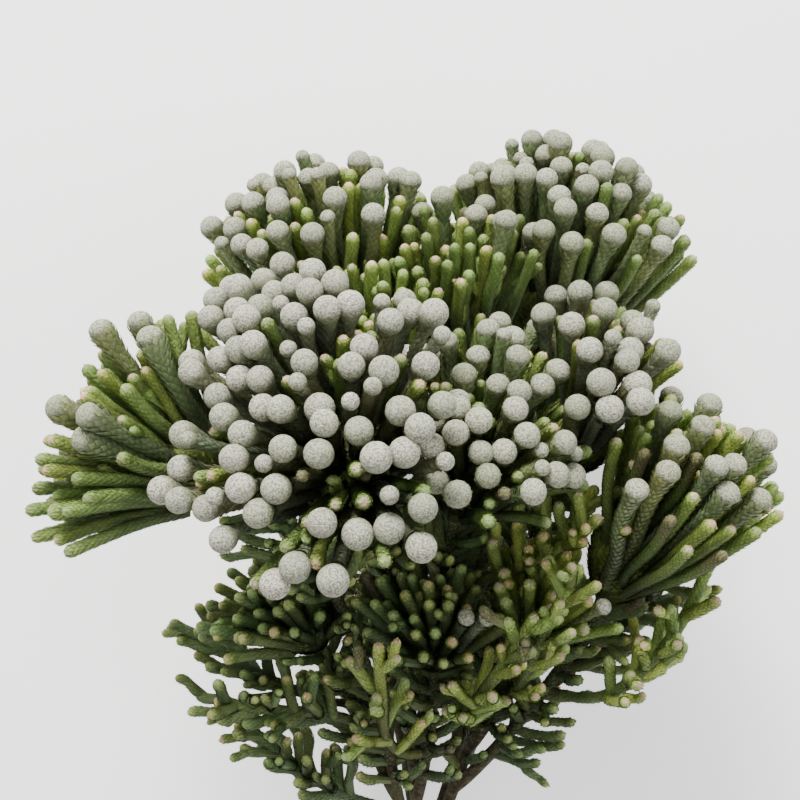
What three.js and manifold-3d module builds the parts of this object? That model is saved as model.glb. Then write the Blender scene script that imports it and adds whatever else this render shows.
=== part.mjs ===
// A cut sprig of silver brunia, lying on a table. A woody stem forks into branches that fork again. Each of
// them carries a dense head of finger-like leafy shoots, many of which end in a round grey flower ball, and
// small leafy side sprays sit lower down. Millimetres, +Z up. +Y runs from the cut end to the flower heads.
import * as THREE from "three";
import { mergeVertices } from "three/addons/utils/BufferGeometryUtils.js";
import Module from "manifold-3d";

// Driving dimensions
const BALL_R = 5; // a ripe flower ball is 10 mm across
const SHAFT_R = 2.5; // a flowering shoot below its ball, leaves included
const FINGER_R = 2.3; // a shoot without a ball
const STEM_R = 6.2; // the main stem at its cut end
const BRANCH_R = 3.1; // a branch where it leaves the whorl
const BRANCH_TIP_R = 2.5; // a branch under its head
const STUB_R = 1.9; // the woody foot of a side spray
const STUB_LENGTH = 5;
const SEAT_GAP = 0.3; // between two pieces that meet end to end
const CLEARANCE = 1.1; // least distance between shoots of two neighbouring nodes
const TIP_OVERLAP = -1.2; // balls of one head may press into each other by this much
const CUT_END = new THREE.Vector3(14, -252, 4.9);
const WHORL = new THREE.Vector3(10, -222, 20);
const BOX_CENTRE = new THREE.Vector2(9.4, -70.9); // centre of the sprig's box before it is centred
const TABLE_BITE = 1.2; // how far the lowest balls are pressed flat on the table

// How the shoots stand in a head
const GOLDEN_ANGLE = Math.PI * (3 - Math.sqrt(5));
const GROWTH = new THREE.Vector3(0, 0.9, 0.44).normalize(); // the way young shoots bend
const ROOT_LOW = 0.16; // rim shoots leave the heart at this share of the head's height
const ROOT_SPAN = 0.24; // and inner ones up to this much higher
const ROOT_SPREAD = 0.3; // how far out a shoot starts, as a share of how far out its tip is
const HEART_SHARE = 0.46; // height of the solid heart that the shoots stand out of, as a share of the head's
const HEART_WIDTH = 0.42; // its half widths, as a share of the head's

// Faces of the solids
const SHAFT_SIDES = 6;
const RELIEF = 0.1; // scale leaves, raised and sunk in turn round the shoot
const BALL_RELIEF = 0.03; // florets on a ball
const RING_STEP = 20; // along a shoot
const BALL_RINGS = [36, 72, 108, 144].map(THREE.MathUtils.degToRad); // from the pole that the shaft meets
const ROOT_DEPTH = 3; // how far a shoot is sunk into its head's heart
const HEART_SIDES = 10;
const SPRAY_SPACING = 26; // least distance between the finger tips that a side spray's solid keeps
const HEART_ROWS = [0, 0.25, 0.55, 0.85]; // as shares of its height

// A head: base and axis place it, height reaches from base to the middle tips, wide and deep are its half
// widths, drop lowers the rim tips, flare 0 ends the shoots parallel and 1 lets them radiate. balls is the
// share of shoots that carry a ball, and lean = [wide, deep] raises that share towards one side. spacing is
// the least distance between the tips that the solid keeps. from and fork say where its branch leaves
// another one.
const HEADS = [
  { name: "head_front", seed: 11, base: [-16, -30, 128], axis: [-0.28, 0.44, 0.85], height: 78,
    wide: 60, deep: 72, drop: 18, flare: 0.7, shoots: 128, balls: 0.86, lean: [0, 0], shaft: 0.92,
    ball: 1.0, spacing: 26 },
  { name: "head_middle", seed: 23, base: [24, -46, 104], axis: [0.2, 0.7, 0.68], height: 84,
    wide: 42, deep: 58, drop: 18, flare: 0.8, shoots: 100, balls: 0.6, lean: [0, 0.2], shaft: 1.15,
    ball: 0.96, spacing: 22, from: "head_front", fork: 0.26 },
  { name: "head_right_inner", seed: 37, base: [66, -30, 98], axis: [0.2, 0.74, 0.66], height: 82,
    wide: 40, deep: 44, drop: 16, flare: 0.7, shoots: 78, balls: 0.62, lean: [0, 0.2],
    shaft: 1.0, ball: 1.0, spacing: 22 },
  { name: "head_right_outer", seed: 41, base: [84, -84, 98], axis: [0.3, 0.8, 0.52],
    height: 104, wide: 46, deep: 42, drop: 24, flare: 0.2, shoots: 90, balls: 0.22,
    lean: [-0.35, 0.3], shaft: 1.2, ball: 0.98, spacing: 24, from: "head_right_inner", fork: 0.2 },
  { name: "head_right_far", seed: 43, base: [114, -74, 88], axis: [0.4, 0.78, 0.48], height: 76,
    wide: 18, deep: 24, drop: 14, flare: 0.3, shoots: 28, balls: 0.12, lean: [-0.2, 0],
    shaft: 1.1, ball: 0.9, spacing: 17, from: "head_right_outer", fork: 0.6 },
  { name: "head_left", seed: 53, base: [-62, -36, 134], axis: [-0.78, 0.5, 0.38], height: 82,
    wide: 56, deep: 28, drop: 22, flare: 0.8, shoots: 84, balls: 0.14, lean: [0.4, 0.2],
    shaft: 1.35, ball: 1.02, spacing: 22 },
  { name: "head_back_right", seed: 67, base: [64, 12, 56], axis: [0.06, 0.9, 0.43], height: 106,
    wide: 58, deep: 46, drop: 32, flare: 0.2, shoots: 134, balls: 0.62, lean: [-0.4, 0.1],
    shaft: 1.0, ball: 0.98, spacing: 28 },
  { name: "head_back_left", seed: 71, base: [-22, 10, 62], axis: [-0.12, 0.9, 0.42], height: 100,
    wide: 56, deep: 44, drop: 28, flare: 0.25, shoots: 124, balls: 0.46, lean: [0, 0.1],
    shaft: 1.0, ball: 0.98, spacing: 28 },
  { name: "head_back_centre", seed: 113, base: [24, -4, 74], axis: [-0.02, 0.86, 0.5], height: 96,
    wide: 34, deep: 34, drop: 12, flare: 0.3, shoots: 70, balls: 0.24, lean: [0, 0.1],
    shaft: 1.0, ball: 0.94, spacing: 22, from: "head_back_right", fork: 0.3 },
  { name: "head_centre", seed: 73, base: [-8, -4, 102], axis: [-0.06, 0.8, 0.6], height: 70,
    wide: 30, deep: 26, drop: 10, flare: 0.3, shoots: 44, balls: 0.12, lean: [0, 0.1],
    shaft: 1.0, ball: 0.9, spacing: 20, from: "head_front", fork: 0.42 },
  { name: "head_low_left", seed: 79, base: [-34, -106, 80], axis: [-0.4, 0.72, 0.56],
    height: 60, wide: 40, deep: 30, drop: 14, flare: 0.7, shoots: 60, balls: 0.03, lean: [0, 0],
    shaft: 0.9, ball: 0.7, spacing: 21, from: "head_left", fork: 0.2 },
  { name: "head_low_centre", seed: 89, base: [15, -114, 83], axis: [0, 0.8, 0.6], height: 58,
    wide: 36, deep: 30, drop: 12, flare: 0.7, shoots: 54, balls: 0.03, lean: [0, 0], shaft: 0.9,
    ball: 0.7, spacing: 22, from: "head_front", fork: 0.16 },
  { name: "head_low_right", seed: 103, base: [54, -106, 84], axis: [0.18, 0.82, 0.54], height: 62,
    wide: 40, deep: 28, drop: 14, flare: 0.7, shoots: 54, balls: 0.03, lean: [0, 0], shaft: 0.9,
    ball: 0.7, spacing: 20, from: "head_right_inner", fork: 0.3 },
  { name: "head_under_left", seed: 83, base: [-26, -28, 39.4], axis: [-0.25, 0.93, -0.18],
    height: 96, wide: 36, deep: 24, drop: 16, flare: 0.5, shoots: 46, balls: 0.5, lean: [0, -0.2],
    shaft: 1.0, ball: 1.0, spacing: 22, from: "head_back_left", fork: 0.22 },
  { name: "head_under_right", seed: 97, base: [44, -30, 35.8], axis: [0.22, 0.94, -0.16],
    height: 96, wide: 38, deep: 22, drop: 16, flare: 0.5, shoots: 46, balls: 0.5, lean: [0, -0.2],
    shaft: 1.0, ball: 1.0, spacing: 22, from: "head_back_right", fork: 0.22 },
];

// A side spray leaves the branch of the named head at the share `at` of its length and reaches to a tip.
const SPRAYS = [
  { name: "spray_left_high", seed: 101, branch: "head_low_left", at: 0.6, reach: [-88, -98, 82],
    fingers: 18, length: 24 },
  { name: "spray_left_mid", seed: 103, branch: "head_left", at: 0.4, reach: [-78, -126, 92],
    fingers: 22, length: 24 },
  { name: "spray_left_low", seed: 107, branch: "head_left", at: 0.16, reach: [-66, -142, 74],
    fingers: 20, length: 24 },
  { name: "spray_fork", seed: 113, branch: "head_low_centre", at: 0.4, reach: [-8, -92, 140],
    fingers: 6, length: 24 },
  { name: "spray_front", seed: 131, branch: "head_low_right", at: 0.3, reach: [52, -82, 136],
    fingers: 22, length: 22 },
  { name: "spray_right", seed: 137, branch: "head_middle", at: 0.7, reach: [76, -44, 140],
    fingers: 30, length: 30 },
  { name: "spray_right_mid", seed: 179, branch: "head_low_right", at: 0.7, reach: [68, -62, 142],
    fingers: 26, length: 26 },
  { name: "spray_right_low", seed: 139, branch: "head_right_outer", at: 0.6,
    reach: [120, -62, 130], fingers: 18, length: 22 },
  { name: "spray_under_left", seed: 149, branch: "head_under_left", at: 0.5, reach: [-46, -64, 22],
    fingers: 14, length: 22 },
  { name: "spray_under_right", seed: 151, branch: "head_under_right", at: 0.55,
    reach: [44, -50, 9], fingers: 14, length: 22 },
];

const wasm = await Module();
wasm.setup();

// A repeatable number from 0 to 1 for a seed, a running index and a use.
function draw(seed, index, use) {
  let h = (Math.imul(seed, 374761393) + Math.imul(index, 668265263) + Math.imul(use, 2246822519)) >>> 0;
  h = Math.imul(h ^ (h >>> 13), 1274126177) >>> 0;
  h = Math.imul(h ^ (h >>> 15), 2654435761) >>> 0;
  return ((h ^ (h >>> 16)) >>> 0) / 4294967296;
}

const vector = (list) => new THREE.Vector3(...list);

// The three directions of a head: along its axis, across it, and over towards the upper side.
function directions(axis) {
  const along = vector(axis).normalize();
  const across = new THREE.Vector3().crossVectors(along, new THREE.Vector3(0, 0, 1)).normalize();
  const over = new THREE.Vector3().crossVectors(across, along);
  return { along, across, over };
}

// A head's branch leaves the whorl, or another head's branch at the share `fork` of its length.
function branchCurve(head, branches) {
  const parent = branches.get(head.from);
  const start = parent ? parent.getPointAt(head.fork) : WHORL.clone();
  const onward = parent ? parent.getTangentAt(head.fork) : WHORL.clone().sub(CUT_END).normalize();
  const base = vector(head.base);
  const { along } = directions(head.axis);
  const reach = base.distanceTo(start);
  const aside = base.clone().sub(start).projectOnPlane(onward);
  return new THREE.CubicBezierCurve3(
    start,
    start.clone().addScaledVector(onward, 0.16 * reach).addScaledVector(aside, 0.3),
    base.clone().addScaledVector(along, -0.34 * reach),
    base,
  );
}

// One shoot of a head, by its place in a sunflower spiral over the head's disc.
function headShoot(head, i) {
  const { along, across, over } = directions(head.axis);
  const rho = Math.sqrt((i + 0.5) / head.shoots);
  const turn = i * GOLDEN_ANGLE;
  const jitter = 0.4 / Math.sqrt(head.shoots);
  const a = rho * Math.cos(turn) + jitter * (draw(head.seed, i, 1) - 0.5);
  const b = rho * Math.sin(turn) + jitter * (draw(head.seed, i, 2) - 0.5);
  const share = head.balls + head.lean[0] * a + head.lean[1] * b;
  const isBall = draw(head.seed, i, 3) < share;
  const small = draw(head.seed, i, 4);
  const height = head.height - head.drop * rho * rho
    + 9 * (draw(head.seed, i, 5) - 0.5) - (isBall ? 0 : 4 + 12 * draw(head.seed, i, 6));
  const base = vector(head.base);
  const lateral = across.clone().multiplyScalar(head.wide * a).addScaledVector(over, head.deep * b);
  const root = base.clone().addScaledVector(along, head.height * (ROOT_LOW + ROOT_SPAN * (1 - rho)))
    .addScaledVector(lateral, ROOT_SPREAD);
  const tip = base.clone().addScaledVector(along, height).add(lateral);
  const rise = tip.clone().sub(root).dot(along);
  const control = root.clone().addScaledVector(along, 0.46 * rise)
    .addScaledVector(lateral, (0.72 - 0.5 * head.flare) * (1 - ROOT_SPREAD));
  return {
    node: head.name,
    rho,
    curve: new THREE.QuadraticBezierCurve3(root, control, tip),
    ball: isBall ? BALL_R * head.ball * (small < 0.12 ? 0.62 : 0.92 + 0.14 * small) : 0,
    radius: isBall ? SHAFT_R * head.shaft : FINGER_R * (0.9 + 0.25 * small),
  };
}

// A side spray's foot, its leafy axis and the fingers that stand along it.
function sprayShoots(spray, branches) {
  const branch = branches.get(spray.branch);
  const leave = branch.getPointAt(spray.at);
  const reach = vector(spray.reach);
  const upBranch = branch.getTangentAt(spray.at);
  const aside = reach.clone().sub(leave).projectOnPlane(upBranch).normalize();
  const outward = aside.multiplyScalar(0.85).addScaledVector(upBranch, 0.53).normalize();
  const foot = leave.clone().addScaledVector(outward, BRANCH_R + STUB_LENGTH);
  const start = foot.clone().addScaledVector(outward, SEAT_GAP);
  const span = reach.distanceTo(start);
  const control = start.clone().addScaledVector(outward, 0.4 * span);
  const axis = { node: spray.name, curve: new THREE.QuadraticBezierCurve3(start, control, reach), ball: 0,
    radius: FINGER_R };
  const shoots = [axis];
  for (let k = 0; k < spray.fingers; k++) {
    const share = 0.2 + (0.74 * (k + 0.3)) / spray.fingers;
    const from = axis.curve.getPointAt(share);
    const tangent = axis.curve.getTangentAt(share);
    const { across, over } = directions(tangent.toArray());
    const turn = k * GOLDEN_ANGLE + 1.2 * draw(spray.seed, k, 1);
    const radial = across.multiplyScalar(Math.cos(turn)).addScaledVector(over, Math.sin(turn));
    const heading = tangent.clone().multiplyScalar(0.5).addScaledVector(radial, 0.75)
      .addScaledVector(GROWTH, 0.35);
    const length = spray.length * (1.1 - 0.4 * share) * (0.8 + 0.4 * draw(spray.seed, k, 2));
    const bent = from.clone().addScaledVector(heading.normalize(), 0.5 * length);
    const tip = bent.clone().addScaledVector(heading.addScaledVector(GROWTH, 0.6).normalize(), 0.5 * length);
    shoots.push({ node: spray.name, curve: new THREE.QuadraticBezierCurve3(from, bent, tip), ball: 0,
      radius: FINGER_R * (0.88 + 0.2 * draw(spray.seed, k, 3)) });
  }
  return { foot, leave, shoots };
}

// Spheres along a shoot, for the clearance test: [x, y, z, radius].
function beads(shoot, step = 2.5) {
  const length = shoot.curve.getLength();
  const count = Math.max(3, Math.ceil(length / step));
  const list = [];
  for (let k = 0; k <= count; k++) {
    const p = shoot.curve.getPointAt(k / count);
    list.push([p.x, p.y, p.z, shoot.radius]);
  }
  if (shoot.ball) {
    const p = shoot.curve.getPointAt(1 - shoot.ball / length);
    list.push([p.x, p.y, p.z, shoot.ball]);
  }
  return list;
}

// The half widths of a head's heart at a height above its base: a bud, widest at three fifths of its height.
function heartHalfWidths(head, height) {
  const s = height / (HEART_SHARE * head.height);
  const below = s < 0.6;
  const fallOff = Math.min(1, Math.max(0, (s - 0.6) / 0.4));
  const swell = below ? Math.sin((s / 0.6) * (Math.PI / 2)) : Math.sqrt(1 - fallOff ** 2);
  const least = below ? BRANCH_TIP_R : 0;
  return [head.wide, head.deep].map((half) => least + (HEART_WIDTH * half - least) * swell);
}

// Spheres that fill a head's heart, side by side across its wider way.
function heartBeads(head) {
  const { along, across, over } = directions(head.axis);
  const list = [];
  for (let k = 1; k <= 5; k++) {
    const height = (k / 6) * HEART_SHARE * head.height;
    const [wide, deep] = heartHalfWidths(head, height);
    const radius = Math.min(wide, deep);
    for (const side of [-1, 0, 1]) {
      const p = vector(head.base).addScaledVector(along, height)
        .addScaledVector(across, side * (wide - radius)).addScaledVector(over, side * (deep - radius));
      list.push([p.x, p.y, p.z, radius]);
    }
  }
  return list;
}

function tooNear(a, b, gap) {
  return (a[0] - b[0]) ** 2 + (a[1] - b[1]) ** 2 + (a[2] - b[2]) ** 2 < (a[3] + b[3] + gap) ** 2;
}

// Keeps the shoots that stay clear of every other node, in order, and of the balls of their own.
function keepClear(candidates, obstacles) {
  const kept = [];
  for (const shoot of candidates) {
    const own = beads(shoot);
    const tipBead = own[own.length - 1];
    const underTable = own.some(([, , z, radius]) => z - radius < -TABLE_BITE);
    const others = obstacles.filter((o) => o.node !== shoot.node && o.branchOf !== shoot.node);
    const blocked = others.some((o) => own.some((s) => o.beads.some((t) => tooNear(s, t, CLEARANCE))));
    const crowded = kept.some((o) => o.node === shoot.node && tooNear(tipBead, o.tipBead, TIP_OVERLAP));
    if (underTable || blocked || crowded) continue;
    const entry = { node: shoot.node, beads: own, tipBead, shoot };
    kept.push(entry);
    obstacles.push(entry);
  }
  return kept.map((entry) => entry.shoot);
}

// Three directions at a share of a shoot's length; across stays square to the plane that the shoot bends in.
function frameAt(curve, share, bendAxis) {
  const along = curve.getTangentAt(share);
  const over = new THREE.Vector3().crossVectors(bendAxis, along).normalize();
  const across = new THREE.Vector3().crossVectors(along, over).normalize();
  return { point: curve.getPointAt(share), across, over };
}

// An axis square to the plane that a shoot bends in.
function bendAxisOf(curve) {
  const first = curve.getTangentAt(0);
  const axis = new THREE.Vector3().crossVectors(first, curve.getTangentAt(1));
  if (axis.length() > 1e-3) return axis.normalize();
  const upright = Math.abs(first.z) < 0.9 ? new THREE.Vector3(0, 0, 1) : new THREE.Vector3(1, 0, 0);
  return axis.crossVectors(first, upright).normalize();
}

// Turns a profile of [radius, distance along the curve] round the curve. Every other row is turned by half a
// side, and relief raises and sinks the corners in turn, so that they lie on the shoot like scale leaves.
function turnAlong(curve, profile, relief = () => 0) {
  const geometry = new THREE.LatheGeometry(profile.map(([r, s]) => new THREE.Vector2(r, s)), SHAFT_SIDES);
  const length = curve.getLength();
  const bendAxis = bendAxisOf(curve);
  const frames = profile.map(([, s]) => frameAt(curve, THREE.MathUtils.clamp(s / length, 0, 1), bendAxis));
  const position = geometry.getAttribute("position");
  for (let v = 0; v < position.count; v++) {
    const row = v % profile.length;
    const column = Math.floor(v / profile.length) % SHAFT_SIDES;
    const turn = ((column + (row % 2) / 2) * 2 * Math.PI) / SHAFT_SIDES;
    const radius = profile[row][0] * (1 + relief(row) * (column % 2 ? 1 : -1));
    const { point, across, over } = frames[row];
    const p = point.clone().addScaledVector(across, radius * Math.cos(turn))
      .addScaledVector(over, radius * Math.sin(turn));
    position.setXYZ(v, p.x, p.y, p.z);
  }
  return geometry;
}

// A closed geometry as a solid that can be joined and cut.
function solid(geometry) {
  const bare = geometry.clone();
  bare.deleteAttribute("normal");
  bare.deleteAttribute("uv");
  const merged = mergeVertices(bare, 1e-4);
  const corners = [];
  const index = merged.index.array;
  for (let i = 0; i < index.length; i += 3) {
    const [a, b, c] = index.slice(i, i + 3);
    if (a !== b && b !== c && c !== a) corners.push(a, b, c);
  }
  const vertProperties = new Float32Array(merged.attributes.position.array);
  const make = (list) =>
    new wasm.Manifold(new wasm.Mesh({ numProp: 3, vertProperties, triVerts: new Uint32Array(list) }));
  const made = make(corners);
  if (made.volume() > 0) return made;
  const turned = [];
  for (let i = 0; i < corners.length; i += 3) turned.push(corners[i], corners[i + 2], corners[i + 1]);
  return make(turned);
}

function geometryOf(manifold) {
  const { numProp, vertProperties, triVerts } = manifold.getMesh();
  const corners = new Float32Array(triVerts.length * 3);
  triVerts.forEach((v, i) => corners.set(vertProperties.subarray(v * numProp, v * numProp + 3), i * 3));
  const geometry = new THREE.BufferGeometry().setAttribute("position", new THREE.BufferAttribute(corners, 3));
  geometry.computeVertexNormals();
  return geometry;
}

// The distance along a shoot at which it comes out of its head's heart, less the root that stays sunk in.
function rootDistance(shoot, head) {
  if (!head) return 0;
  const base = vector(head.base);
  const { along, across, over } = directions(head.axis);
  const length = shoot.curve.getLength();
  const step = 1.5;
  let inside = 0;
  for (let s = 0; s < length; s += step) {
    const offset = shoot.curve.getPointAt(s / length).sub(base);
    const height = offset.dot(along);
    const [wide, deep] = heartHalfWidths(head, height);
    if (Math.hypot(offset.dot(across) / wide, offset.dot(over) / deep) < 0.96) inside = s;
  }
  return Math.max(0, inside - ROOT_DEPTH);
}

// The profile of a shoot from its root to its tip, with a ball or a blunt end.
function shootProfile(shoot, from) {
  const length = shoot.curve.getLength();
  const { radius, ball } = shoot;
  const profile = [[0, from], [radius * 0.94, from]];
  const shaftEnd = ball ? length - ball * (1 + Math.cos(BALL_RINGS[0])) : length - radius * 0.7;
  const steps = Math.max(1, Math.round((shaftEnd - from) / RING_STEP));
  for (let k = 1; k < steps; k++) profile.push([radius, from + ((shaftEnd - from) * k) / steps]);
  if (ball) {
    for (const angle of BALL_RINGS) {
      profile.push([ball * Math.sin(angle), length - ball * (1 + Math.cos(angle))]);
    }
  } else {
    profile.push([radius * 0.9, shaftEnd]);
  }
  profile.push([0, length]);
  return profile;
}

function shootSolid(shoot, head) {
  const profile = shootProfile(shoot, rootDistance(shoot, head));
  const firstBallRow = profile.length - BALL_RINGS.length - 1;
  const relief = (row) => (shoot.ball && row >= firstBallRow ? BALL_RELIEF : RELIEF);
  return solid(turnAlong(shoot.curve, profile, relief));
}

function heartSolid(head) {
  const { along, across, over } = directions(head.axis);
  const top = HEART_SHARE * head.height;
  const profile = [[0, 0], ...HEART_ROWS.map((s) => [1, s * top]), [0, top]];
  const geometry = new THREE.LatheGeometry(profile.map(([r, s]) => new THREE.Vector2(r, s)), HEART_SIDES);
  const position = geometry.getAttribute("position");
  const foot = vector(head.base).addScaledVector(along, SEAT_GAP);
  for (let v = 0; v < position.count; v++) {
    const [wide, deep] = heartHalfWidths(head, position.getY(v));
    const p = foot.clone().addScaledVector(along, position.getY(v))
      .addScaledVector(across, wide * position.getX(v)).addScaledVector(over, deep * position.getZ(v));
    position.setXYZ(v, p.x, p.y, p.z);
  }
  return solid(geometry);
}

// Drops shoots until the tips of those left stand at least spacing apart, the rim first.
function thinned(shoots, spacing) {
  const kept = [];
  for (const shoot of [...shoots].reverse()) {
    const tip = shoot.curve.getPointAt(1);
    if (kept.every((other) => other.curve.getPointAt(1).distanceTo(tip) >= spacing)) kept.push(shoot);
  }
  return kept;
}

function taperedTube(curve, startRadius, endRadius, rings) {
  const length = curve.getLength();
  const rows = [];
  for (let k = 0; k <= rings; k++) {
    rows.push([startRadius + ((endRadius - startRadius) * k) / rings, (length * k) / rings]);
  }
  return solid(turnAlong(curve, [[0, 0], ...rows, [0, length]]));
}

// Everything below the table's top is cut away, which leaves the flat spots that the sprig rests on.
function cutAtTable(manifold) {
  const deep = 60;
  const block = new THREE.BoxGeometry(900, 900, deep).translate(0, 0, -deep / 2);
  return manifold.subtract(solid(block));
}

const materials = {
  wood: new THREE.MeshStandardMaterial({ color: 0x5a5236, roughness: 0.85 }),
  head: new THREE.MeshStandardMaterial({ color: 0x8c9472, roughness: 0.9 }),
  leaf: new THREE.MeshStandardMaterial({ color: 0x66743a, roughness: 0.8 }),
};

function mesh(name, manifold, material) {
  const made = new THREE.Mesh(geometryOf(cutAtTable(manifold)), material);
  made.name = name;
  return made;
}

const branches = new Map();
for (const head of HEADS) branches.set(head.name, branchCurve(head, branches));
const sprays = SPRAYS.map((spray) => ({ spray, ...sprayShoots(spray, branches) }));

const tubeBeads = (curve, radius) => beads({ curve, radius, ball: 0 });
const obstacles = [{ node: "stem", beads: tubeBeads(new THREE.LineCurve3(CUT_END, WHORL), STEM_R) }];
for (const head of HEADS) {
  obstacles.push({ node: "stem", branchOf: head.name, beads: tubeBeads(branches.get(head.name), BRANCH_R) });
  obstacles.push({ node: head.name, beads: heartBeads(head) });
}
for (const { spray, leave, foot } of sprays) {
  const stub = new THREE.LineCurve3(leave, foot);
  obstacles.push({ node: "stem", branchOf: spray.name, beads: tubeBeads(stub, STUB_R) });
}
const headShoots = HEADS.flatMap((head) => Array.from({ length: head.shoots }, (_, i) => headShoot(head, i)));
const candidates = [
  ...sprays.map((s) => s.shoots[0]),
  ...headShoots.sort((a, b) => a.rho - b.rho),
  ...sprays.flatMap((s) => s.shoots.slice(1)),
];
const kept = keepClear(candidates, obstacles);

function headMesh(head) {
  const shoots = thinned(kept.filter((shoot) => shoot.node === head.name), head.spacing);
  const parts = [heartSolid(head), ...shoots.map((shoot) => shootSolid(shoot, head))];
  return mesh(head.name, wasm.Manifold.union(parts), materials.head);
}

function sprayMesh({ spray }) {
  const [axis, ...fingers] = kept.filter((shoot) => shoot.node === spray.name);
  const parts = [axis, ...thinned(fingers, SPRAY_SPACING)].map((shoot) => shootSolid(shoot));
  return mesh(spray.name, wasm.Manifold.union(parts), materials.leaf);
}

function stemMesh() {
  const main = taperedTube(new THREE.LineCurve3(CUT_END, WHORL), STEM_R, STEM_R * 0.92, 2);
  const forks = HEADS.map((head) => taperedTube(branches.get(head.name), BRANCH_R, BRANCH_TIP_R, 4));
  const stubs = sprays.map((s) => taperedTube(new THREE.LineCurve3(s.leave, s.foot), STUB_R, STUB_R, 1));
  return mesh("stem", wasm.Manifold.union([main, ...forks, ...stubs]), materials.wood);
}

const sprig = new THREE.Group();
sprig.position.set(-BOX_CENTRE.x, -BOX_CENTRE.y, 0);
sprig.add(stemMesh(), ...HEADS.map(headMesh), ...sprays.map(sprayMesh));

const part = new THREE.Group();
part.add(sprig);
export default part;
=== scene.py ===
"""Looks of a cut sprig of silver brunia that lies on a pale floor, seen from straight above."""
import math

import bmesh
import bpy
import numpy as np
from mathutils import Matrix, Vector

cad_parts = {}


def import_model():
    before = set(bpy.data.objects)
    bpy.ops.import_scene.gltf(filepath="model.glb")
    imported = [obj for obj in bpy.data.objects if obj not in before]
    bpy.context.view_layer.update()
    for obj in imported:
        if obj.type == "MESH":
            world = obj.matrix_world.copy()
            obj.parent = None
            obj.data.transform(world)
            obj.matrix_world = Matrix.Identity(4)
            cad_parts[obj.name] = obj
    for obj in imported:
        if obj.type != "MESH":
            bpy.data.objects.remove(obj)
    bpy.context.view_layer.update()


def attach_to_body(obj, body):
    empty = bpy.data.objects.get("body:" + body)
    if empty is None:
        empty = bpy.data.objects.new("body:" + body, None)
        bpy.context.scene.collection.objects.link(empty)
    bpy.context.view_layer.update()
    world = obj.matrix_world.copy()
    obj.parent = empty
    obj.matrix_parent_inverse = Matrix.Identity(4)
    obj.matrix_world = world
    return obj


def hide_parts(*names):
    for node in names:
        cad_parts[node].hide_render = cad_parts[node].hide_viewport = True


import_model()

# The layout rules below are the CAD model's own, in millimetres, in the frame before its box is centred.
MM = 0.001
BALL_R = 5.0  # a ripe flower ball is 10 mm across
SHAFT_R = 2.5  # a flowering shoot below its ball, leaves included
FINGER_R = 2.3  # a shoot without a ball
STEM_R = 6.2
BRANCH_R = 3.1  # a branch where it leaves the whorl
BRANCH_TIP_R = 2.5  # a branch under its head
STUB_R = 1.9  # the woody foot of a side spray
STUB_LENGTH = 5.0
SEAT_GAP = 0.3  # between two pieces that meet end to end
CLEARANCE = 1.1  # least distance between shoots of two neighbouring nodes
TIP_OVERLAP = -1.2  # balls of one head may press into each other by this much
TABLE_BITE = 1.2  # how far the lowest balls are pressed flat on the table
CUT_END = np.array([14.0, -252.0, 4.9])
WHORL = np.array([10.0, -222.0, 20.0])
BOX_CENTRE = np.array([9.4, -70.9, 0.0])  # centre of the sprig's box before it is centred
GOLDEN_ANGLE = math.pi * (3 - math.sqrt(5))
GROWTH = np.array([0.0, 0.9, 0.44]) / math.hypot(0.9, 0.44)  # the way young shoots bend
UP = np.array([0.0, 0.0, 1.0])
BEAD_STEP = 2.5  # between the spheres that stand for a shoot

# A branch's curve: its two inner points, as shares of its reach
BRANCH_ONWARD = 0.16
BRANCH_ASIDE = 0.3
BRANCH_BACK = 0.34

# A head's heart is the bud that its shoots stand out of.
HEART_SHARE = 0.46  # its height, as a share of the head's
HEART_WIDTH = 0.42  # its half widths, as a share of the head's
HEART_WIDEST = 0.6  # where it is widest, as a share of its height
HEART_ROWS = 5  # rows of spheres that fill it

# A head's shoots
ROOT_LOW = 0.16  # rim shoots leave the heart at this share of the head's height
ROOT_SPAN = 0.24  # and inner ones up to this much higher
ROOT_SPREAD = 0.3  # how far out a shoot starts, as a share of how far out its tip is
SPIRAL_JITTER = 0.4  # as a share of the spiral's spacing
HEIGHT_JITTER = 9.0
FINGER_LOWER = 4.0  # shoots without a ball are shorter by this much
FINGER_LOWER_SPAN = 12.0  # and by up to this much more
BEND_RISE = 0.46  # a shoot bends at this share of its rise
BEND_OUT = 0.72  # and this share of its way out
BEND_FLARE = 0.5  # less this much of its head's flare
SMALL_BALLS = 0.12  # the share of balls that are small
SMALL_BALL_SIZE = 0.62
BALL_SIZE = 0.92  # the least size of the others
BALL_SIZE_SPAN = 0.14
FINGER_SIZE = 0.9
FINGER_SIZE_SPAN = 0.25

# A side spray's axis and its fingers
SPRAY_ASIDE = 0.85  # its foot leaves the branch sideways by this much
SPRAY_ONWARD = 0.53  # and along it by this much
SPRAY_STRAIGHT = 0.4  # its axis bends at this share of its span
SPRAY_BARE = 0.2  # fingers stand from this share of the axis
SPRAY_CLOTHED = 0.74  # over this share of it
SPRAY_TURN_JITTER = 1.2
SPRAY_ALONG = 0.5  # a finger's heading: this much of the axis
SPRAY_OUT = 0.75  # this much away from it
SPRAY_GROWTH = 0.35  # and this much of the way young shoots bend
SPRAY_CURL = 0.6

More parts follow.
